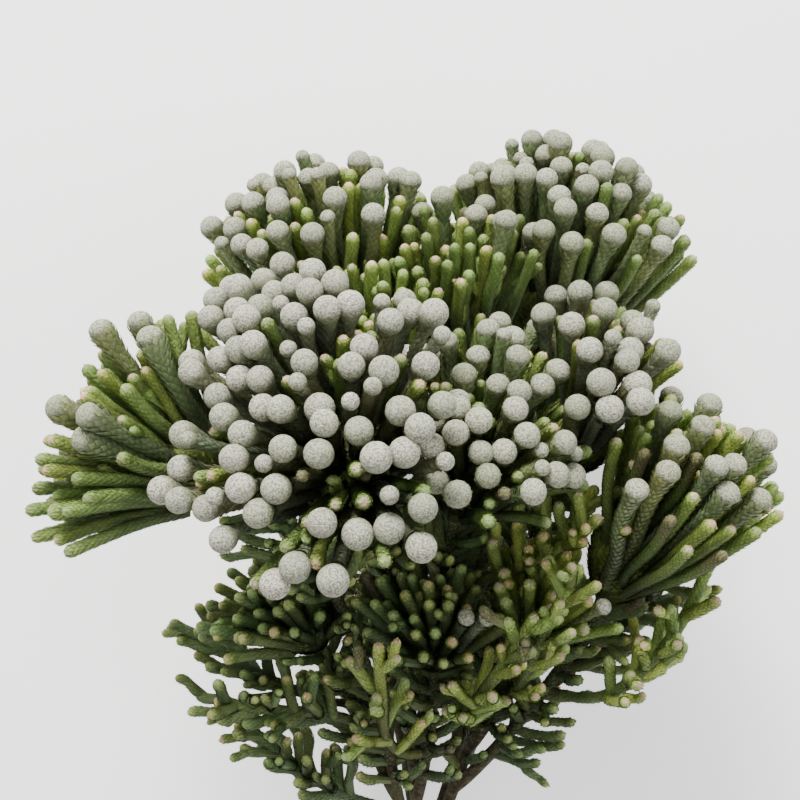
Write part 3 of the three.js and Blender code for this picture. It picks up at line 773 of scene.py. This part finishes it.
class Nodes:
    """A material's node tree, with short ways to add and join nodes."""

    def __init__(self, name):
        self.material = bpy.data.materials.new(name)
        self.material.use_nodes = True
        self.tree = self.material.node_tree
        self.shader = next(n for n in self.tree.nodes if n.type == "BSDF_PRINCIPLED")

    def new(self, kind, **settings):
        node = self.tree.nodes.new(kind)
        for key, value in settings.items():
            setattr(node, key, value)
        return node

    def feed(self, socket, value):
        """Join a node's output to a socket, or set the socket to a colour or a number."""
        if isinstance(value, bpy.types.NodeSocket):
            self.tree.links.new(value, socket)
        else:
            socket.default_value = (*value, 1.0) if isinstance(value, tuple) else value

    def number(self, name):
        return self.new("ShaderNodeAttribute", attribute_name=name).outputs["Fac"]

    def place(self):
        return self.new("ShaderNodeTexCoord").outputs["Object"]

    def noise(self, scale, detail=2.0):
        node = self.new("ShaderNodeTexNoise")
        node.inputs["Scale"].default_value = scale
        node.inputs["Detail"].default_value = detail
        self.feed(node.inputs["Vector"], self.place())
        return node.outputs["Fac"]

    def cells(self, scale):
        node = self.new("ShaderNodeTexVoronoi")
        node.inputs["Scale"].default_value = scale
        self.feed(node.inputs["Vector"], self.place())
        return node.outputs["Distance"]

    def ramp(self, value, stops):
        node = self.new("ShaderNodeValToRGB")
        self.feed(node.inputs["Fac"], value)
        elements = node.color_ramp.elements
        while len(elements) < len(stops):
            elements.new(0.5)
        for element, (at, colour) in zip(elements, stops):
            element.position = at
            element.color = (*colour, 1.0)
        return node.outputs["Color"]

    def mix(self, share, a, b, blend="MIX"):
        node = self.new("ShaderNodeMix", data_type="RGBA", blend_type=blend)
        for number, value in ((0, share), (6, a), (7, b)):
            self.feed(node.inputs[number], value)
        return node.outputs[2]

    def calc(self, operation, a, b):
        node = self.new("ShaderNodeMath", operation=operation)
        self.feed(node.inputs[0], a)
        self.feed(node.inputs[1], b)
        return node.outputs[0]

    def span(self, value, low, high, to_low=0.0, to_high=1.0):
        """The value's place between low and high, as a number from to_low to to_high."""
        node = self.new("ShaderNodeMapRange")
        self.feed(node.inputs["Value"], value)
        for key, number in (("From Min", low), ("From Max", high), ("To Min", to_low), ("To Max", to_high)):
            node.inputs[key].default_value = number
        return node.outputs["Result"]

    def bump(self, height, distance, strength):
        node = self.new("ShaderNodeBump")
        node.inputs["Distance"].default_value = distance
        node.inputs["Strength"].default_value = strength
        self.feed(node.inputs["Height"], height)
        self.feed(self.shader.inputs["Normal"], node.outputs["Normal"])

    def finish(self, colour, roughness, **constants):
        self.feed(self.shader.inputs["Base Color"], colour)
        self.feed(self.shader.inputs["Roughness"], roughness)
        for key, value in constants.items():
            self.shader.inputs[key.replace("_", " ")].default_value = value
        return self.material


DRY_SHOOTS = 0.025  # the share of shoots with withered tips


def leaf_material(name, finger, shaft, cap):
    """Scale leaves in colours towards the tip for shoots without a ball, finger, and with one, shaft.

    Cap is the share of the first sort that ends in a pink and cream tip.
    """
    m = Nodes(name)
    along, tint, blade, tone, kind = (m.number(key) for key in ("along", "tint", "blade", "tone", "kind"))
    hue = m.calc("FRACT", m.calc("MULTIPLY", tint, 7.0), 0.0)  # a second draw for each shoot
    rosy = m.ramp(tone, [(0.0, (0.37, 0.25, 0.16)), (0.5, (0.5, 0.42, 0.29)), (1.0, (0.66, 0.62, 0.48))])
    capped = m.calc("MULTIPLY", m.span(hue, 1 - cap - 0.1, 1 - cap + 0.1), m.span(along, 0.966, 0.988))
    fingers = m.mix(capped, m.ramp(along, finger), rosy)
    colour = m.mix(kind, m.ramp(along, shaft), fingers)
    # A hue that differs from shoot to shoot, the shoots' own colour
    shade = m.ramp(hue, [(0.0, (0.8, 0.92, 0.8)), (0.5, (1.0, 1.0, 1.0)), (1.0, (1.15, 1.02, 0.75))])
    colour = m.mix(1.0, colour, shade, "MULTIPLY")
    patchy = m.span(m.noise(90.0), 0.3, 0.7, 0.9, 1.15)
    # Foot darker and tip lighter on each leaf, painted shade and painted light, times a random tone of each
    # leaf and shoot
    light = m.calc("MULTIPLY", m.span(blade, 0, 1, 0.6, 1.25), m.span(tone, 0, 1, 0.85, 1.2))
    light = m.calc("MULTIPLY", m.calc("MULTIPLY", light, m.span(tint, 0, 1, 0.85, 1.25)), patchy)
    value = m.new("ShaderNodeCombineColor")
    for socket in value.inputs:
        m.feed(socket, light)
    colour = m.mix(1.0, colour, value.outputs["Color"], "MULTIPLY")
    withered = m.span(tint, DRY_SHOOTS, DRY_SHOOTS + 0.005, 0.75, 0.0)
    dry = m.calc("MULTIPLY", withered, m.span(along, 0.5, 0.85))
    # Withered leaves turn brown, darker at the foot with the same painted shade
    colour = m.mix(dry, colour, m.mix(blade, (0.06, 0.042, 0.025), (0.2, 0.15, 0.09)))
    scales = m.span(m.cells(900.0), 0, 0.7, 1.0, 0.0)
    m.bump(m.calc("ADD", scales, m.noise(2600.0, 3.0)), 0.0003, 0.6)
    return m.finish(colour, m.span(tone, 0, 1, 0.5, 0.75), Specular_IOR_Level=0.4)


def ball_material():
    """Felted grey balls of tiny packed florets, green and darker towards the neck: partly the green of the
    leaves that climb it, partly painted shade.
    """
    m = Nodes("silver_florets")
    tint, side, green = (m.number(key) for key in ("tint", "side", "green"))
    cells = m.cells(1900.0)
    silver = m.ramp(tint, [(0.0, (0.39, 0.395, 0.32)), (0.5, (0.465, 0.46, 0.38)),
                           (1.0, (0.55, 0.535, 0.455))])
    young = m.ramp(tint, [(0.0, (0.26, 0.3, 0.17)), (1.0, (0.38, 0.4, 0.27))])
    colour = m.mix(green, silver, young)
    # Towards the neck the ball turns a dark green: partly the leaves' own green, partly painted shade
    low = m.calc("ADD", side, m.span(m.noise(420.0), 0.3, 0.7, -0.1, 0.1))
    edge = m.span(green, 0.0, 1.0, 0.55, 1.0)
    neck = m.calc("SUBTRACT", 1.0, m.calc("DIVIDE", low, edge))
    colour = m.mix(m.span(neck, 0.0, 0.5, 0.0, 0.85), colour, (0.13, 0.17, 0.07))
    # Each floret lighter in its middle and darker at its edge: painted light on the florets and painted
    # shade in the gaps between them
    floret_light_and_shade = m.ramp(cells, [(0.0, (1.15, 1.15, 1.15)), (0.35, (1.0, 1.0, 1.0)), (0.6, (0.7, 0.7, 0.66)),
                          (0.9, (0.4, 0.4, 0.35))])
    colour = m.mix(1.0, colour, floret_light_and_shade, "MULTIPLY")
    pits = m.span(m.noise(1200.0, 1.0), 0.5, 0.62, 0.0, 0.8)
    colour = m.mix(pits, colour, (0.14, 0.14, 0.1))
    colour = m.mix(m.span(m.noise(260.0), 0.45, 0.75, 0.0, 0.35), colour, (0.33, 0.32, 0.24))
    m.bump(m.span(cells, 0, 0.7, 1.0, 0.0), 0.0002, 0.8)
    return m.finish(colour, 0.9, Specular_IOR_Level=0.15)


def bark_material():
    """Dark rough bark with greenish patches."""
    m = Nodes("bark")
    grain = m.noise(420.0, 4.0)
    colour = m.ramp(grain, [(0.3, (0.022, 0.017, 0.009)), (0.55, (0.06, 0.048, 0.026)),
                            (0.75, (0.12, 0.1, 0.06))])
    colour = m.mix(m.span(m.noise(60.0), 0.45, 0.7, 0.0, 0.5), colour, (0.05, 0.06, 0.025))
    m.bump(grain, 0.0006, 0.8)
    return m.finish(colour, 0.9, Specular_IOR_Level=0.2)


def floor_material():
    m = Nodes("floor")
    colour = m.ramp(m.noise(3.0), [(0.0, (0.93, 0.93, 0.93)), (1.0, (0.96, 0.96, 0.96))])
    m.shader.inputs["Emission Color"].default_value = (1.0, 1.0, 1.0, 1.0)
    return m.finish(colour, 0.9, Specular_IOR_Level=0.1, Emission_Strength=0.6)


# Colours from a shoot's foot (0) to its tip (1): the dark low stops are painted shade deep inside the heads,
# the pale tip stops the shoots' own colour
GREY_SHAFT = [(0.0, (0.085, 0.095, 0.06)), (0.4, (0.12, 0.135, 0.08)), (0.8, (0.18, 0.195, 0.125)),
              (1.0, (0.24, 0.245, 0.17))]
CLUB_SHAFT = [(0.0, (0.08, 0.105, 0.045)), (0.35, (0.125, 0.17, 0.072)), (0.8, (0.19, 0.235, 0.11)),
              (1.0, (0.27, 0.3, 0.15))]
GREEN_FINGER = [(0.0, (0.075, 0.1, 0.036)), (0.45, (0.12, 0.175, 0.05)), (0.9, (0.165, 0.235, 0.058)),
                (0.965, (0.21, 0.28, 0.078)), (1.0, (0.27, 0.31, 0.14))]
# A darker copy of the green fingers: painted shade for the low shoots and sprays that lie in shadow
PAINTED_SHADE_FINGER = [(0.0, (0.06, 0.08, 0.038)), (0.45, (0.078, 0.115, 0.045)), (0.92, (0.105, 0.155, 0.054)),
               (0.965, (0.19, 0.25, 0.075)), (1.0, (0.32, 0.39, 0.14))]
BRIGHT_FINGER = [(0.0, (0.08, 0.11, 0.034)), (0.4, (0.145, 0.205, 0.05)), (0.9, (0.21, 0.295, 0.062)),
                 (0.965, (0.28, 0.36, 0.09)), (1.0, (0.36, 0.4, 0.17))]
# A lighter copy of the green fingers: painted light on shoots that lie in the shadow of the heads
PAINTED_LIGHT_FINGER = [(0.0, (0.12, 0.155, 0.05)), (0.4, (0.19, 0.26, 0.065)), (0.9, (0.27, 0.36, 0.085)),
                (0.965, (0.35, 0.44, 0.13)), (1.0, (0.44, 0.48, 0.23))]

LEAF_GREY = leaf_material("leaves_grey", GREEN_FINGER, GREY_SHAFT, 0.5)
LEAF_CLUB = leaf_material("leaves_club", GREEN_FINGER, CLUB_SHAFT, 0.4)
# Darker copy: painted shade on shoots in shadow
LEAF_PAINTED_SHADE = leaf_material("leaves_painted_shade", PAINTED_SHADE_FINGER, GREY_SHAFT, 0.12)
LEAF_BRIGHT = leaf_material("leaves_bright", BRIGHT_FINGER, CLUB_SHAFT, 0.6)
# Lighter copy: painted light on shoots in the heads' shadow
LEAF_PAINTED_LIGHT = leaf_material("leaves_painted_light", PAINTED_LIGHT_FINGER, CLUB_SHAFT, 0.6)
BALLS = ball_material()
BARK = bark_material()

# The leaves of each head, and how green its balls are. The darker and lighter leaf copies carry painted
# shade and painted light.
HEAD_LOOK = {
    "head_front": (LEAF_GREY, 0.0),
    "head_middle": (LEAF_CLUB, 0.35),
    "head_right_inner": (LEAF_GREY, 0.15),
    "head_right_outer": (LEAF_BRIGHT, 0.5),
    "head_right_far": (LEAF_BRIGHT, 0.4),
    "head_left": (LEAF_CLUB, 0.65),
    "head_back_right": (LEAF_CLUB, 0.4),
    "head_back_left": (LEAF_BRIGHT, 0.25),
    "head_back_centre": (LEAF_CLUB, 0.4),
    "head_centre": (LEAF_BRIGHT, 0.4),
    "head_low_left": (LEAF_PAINTED_SHADE, 0.2),
    "head_low_centre": (LEAF_PAINTED_SHADE, 0.2),
    "head_low_right": (LEAF_PAINTED_LIGHT, 0.3),
    "head_under_left": (LEAF_CLUB, 0.2),
    "head_under_right": (LEAF_CLUB, 0.2),
}
# Sprays that get the lighter leaves: painted light where they lie in the heads' shadow
PAINTED_LIGHT_SPRAYS = {"spray_front", "spray_fork", "spray_right", "spray_right_mid", "spray_right_low"}

RIM = 0.86  # shoots that stand further out in their head are clothed from their very start
FORK_RIM = 0.9  # and those further out than this have no side finger
HEAD_FORKS = 0.3  # the share of fingers with a side finger
SPRAY_FORKS = 0.7
TWIG_FORKS = 0.5
FORK_BURIED = 1.0  # a side finger is bare over this length, inside the finger that it leaves
TWIG_BURIED = 2.0
GREENER_BALLS = 0.2  # the share of balls that are greener
GREENER = 0.3  # and by how much


def attach(piece, node):
    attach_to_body(piece, "root")
    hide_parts(node)


def side_finger(shoot):
    """A short finger that forks off another one."""
    share = 0.5 + 0.25 * shoot.draw(FOR_FORK_PLACE)
    tangent = shoot.curve.tangent(share)
    side = radial(tangent, 2 * math.pi * shoot.draw(FOR_FORK_TURN))
    heading = unit(tangent * 0.8 + side * 0.7)
    curve = bent_twice(shoot.curve.point(share), heading, tangent * 0.8, 9 + 8 * shoot.draw(FOR_FORK_LENGTH))
    return Shoot(shoot.node, curve, 0.85 * shoot.radius, seed=shoot.seed + 300, index=shoot.index)


def add_heart(builder, head):
    """The leafy heart that the shoots stand out of, closed with small scale leaves."""
    along = directions(head["axis"])[0]
    base = np.array(head["base"]) + along * SEAT_GAP
    top = HEART_SHARE * head["height"] * 0.96
    rail = Rail(Bend(base, base + along * top), 3)

    def radius_at(s):
        wide, deep = heart_half_widths(head, np.clip(s, 0, top))
        return 0.93 * np.sqrt(np.maximum(wide, 0.05) * np.maximum(deep, 0.05))

    stops = np.linspace(0, top, 9)
    # The heart's skin and leaves keep the darker lower colours: painted shade inside the head
    add_tube(builder, rail, stops, radius_at(stops) * 0.95, 12,
             along=0.5, tint=0.4, blade=0.2, tone=0.3, kind=WITHOUT_BALL)
    add_leaves(builder, rail, radius_at, 0.0, top - 1.0,
               tint=0.41, kind=WITHOUT_BALL, density=22.0, size=1.4, tip_and_shade_share=0.8)


def dress_head(head):
    name = head["name"]
    leaf, green = HEAD_LOOK[name]
    leaves = Builder(SHOOT_NUMBERS)
    balls = Builder(BALL_NUMBERS)
    add_heart(leaves, head)
    for shoot in kept:
        if shoot.node != name:
            continue
        dress_shoot(leaves, shoot, 0.0 if shoot.rho > RIM else root_distance(shoot, head))
        if shoot.ball:
            greener = GREENER * (shoot.draw(FOR_GREENER_BALL) < GREENER_BALLS)
            add_ball(balls, shoot, min(1.0, green + greener))
        elif shoot.rho < FORK_RIM and shoot.draw(FOR_FORK) < HEAD_FORKS:
            dress_shoot(leaves, side_finger(shoot), FORK_BURIED)
    attach(leaves.make(name + "_shoots", leaf, False), name)
    if balls.points:
        attach(balls.make(name + "_balls", BALLS, True), name)


def dress_spray(spray):
    name = spray["name"]
    leaves = Builder(SHOOT_NUMBERS)
    for shoot in kept:
        if shoot.node != name:
            continue
        dress_shoot(leaves, shoot, 0.0)
        if shoot.draw(FOR_FORK) < SPRAY_FORKS:
            dress_shoot(leaves, side_finger(shoot), FORK_BURIED)
    # The lighter and the darker leaf copies are painted light and painted shade
    look = LEAF_PAINTED_LIGHT if name in PAINTED_LIGHT_SPRAYS else LEAF_PAINTED_SHADE
    attach(leaves.make(name + "_leaves", look, False), name)


def dress_stem():
    bark = Builder(SHOOT_NUMBERS)
    leaves = Builder(SHOOT_NUMBERS)
    rng = np.random.default_rng(5)

    def bark_tube(curve, start_r, end_r, step, sides):
        rail = Rail(curve, 30)
        stops = np.linspace(0, rail.length, max(3, int(rail.length / step) + 1))
        knots = 1 + 0.05 * (rng.random(len(stops)) - 0.5)
        add_tube(bark, rail, stops, np.linspace(start_r, end_r, len(stops)) * knots, sides,
                 along=0.0, tint=0.5, blade=0.0, tone=0.5, kind=0.0)
        return rail

    bark_tube(Bend(CUT_END, WHORL), STEM_R * 0.96, STEM_R * 0.9, step=2.0, sides=24)
    for head in HEADS:
        curve = branches[head["name"]]
        rail = bark_tube(curve, BRANCH_R * 0.93, BRANCH_TIP_R * 0.93, step=3.0, sides=12)
        tint = draw(head["seed"], 0, FOR_BRANCH_TINT)
        # Branch leaves keep the darker lower colours: painted shade under the heads
        add_leaves(leaves, rail, branch_radius(rail.length), 0.3 * rail.length, rail.length - 1.5,
                   tint=tint, kind=WITHOUT_BALL, density=4.2, size=1.4, tip_and_shade_share=0.35)
    for spray in sprays:
        bark_tube(Bend(spray["leave"], spray["foot"]), STUB_R, STUB_R, step=2.0, sides=10)
    for twig in twigs:
        dress_shoot(leaves, twig, TWIG_BURIED, TWIG_LEAF)
        if twig.draw(FOR_FORK) < TWIG_FORKS:
            dress_shoot(leaves, side_finger(twig), FORK_BURIED, TWIG_LEAF)
    attach(bark.make("stem_bark", BARK, True), "stem")
    # The twigs on the stem get the darker copy: painted shade under the heads
    attach(leaves.make("stem_leaves", LEAF_PAINTED_SHADE, False), "stem")


for head in HEADS:
    dress_head(head)
for spray in sprays:
    dress_spray(spray)
dress_stem()


# Floor, light and camera

FLOOR_HALF = 3.0


def floor():
    mesh = bpy.data.meshes.new("floor")
    corners = [(x * FLOOR_HALF, y * FLOOR_HALF, 0) for x, y in ((-1, -1), (1, -1), (1, 1), (-1, 1))]
    mesh.from_pydata(corners, [], [(0, 1, 2, 3)])
    mesh.materials.append(floor_material())
    made = bpy.data.objects.new("floor", mesh)
    bpy.context.scene.collection.objects.link(made)


def area_light(name, place, target, size, power, colour):
    data = bpy.data.lights.new(name, "AREA")
    data.size = size
    data.energy = power
    data.color = colour
    made = bpy.data.objects.new(name, data)
    bpy.context.scene.collection.objects.link(made)
    made.location = place
    toward = np.array(target, float) - np.array(place, float)
    made.rotation_euler = Vector(toward).to_track_quat("-Z", "Y").to_euler()


def world(near, far):
    """A white studio that is brighter towards the far side, where the flower heads point."""
    w = bpy.data.worlds.new("studio")
    w.use_nodes = True
    tree = w.node_tree
    background = tree.nodes["Background"]
    background.inputs["Color"].default_value = (1, 1, 1, 1)
    split = tree.nodes.new("ShaderNodeSeparateXYZ")
    tree.links.new(tree.nodes.new("ShaderNodeTexCoord").outputs["Generated"], split.inputs[0])
    span = tree.nodes.new("ShaderNodeMapRange")
    for key, number in (("From Min", -1.0), ("From Max", 1.0), ("To Min", near), ("To Max", far)):
        span.inputs[key].default_value = number
    tree.links.new(split.outputs["Y"], span.inputs["Value"])
    tree.links.new(span.outputs["Result"], background.inputs["Strength"])
    bpy.context.scene.world = w


CAMERA_HEIGHT = 570.0
FOCAL_PIXELS = 1140.0
FRAME_PIXELS = 800.0
SENSOR = 36.0


def camera():
    data = bpy.data.cameras.new("camera")  # it looks straight down
    data.sensor_width = SENSOR
    data.lens = FOCAL_PIXELS / FRAME_PIXELS * SENSOR
    data.clip_start = 0.01
    made = bpy.data.objects.new("camera", data)
    bpy.context.scene.collection.objects.link(made)
    made.location = (np.array([0, 0, CAMERA_HEIGHT]) - BOX_CENTRE) * MM
    bpy.context.scene.camera = made


MIDDLE = (0.0, 0.05, 0.1)  # of the sprig, in metres

floor()
area_light("key", place=(-0.3, 1.2, 0.95), target=MIDDLE, size=0.6, power=58.0, colour=(1.0, 0.99, 0.96))
area_light("fill", place=(0.7, -0.2, 0.9), target=MIDDLE, size=0.9, power=5.0, colour=(0.97, 0.98, 1.0))
world(near=0.55, far=1.15)
camera()
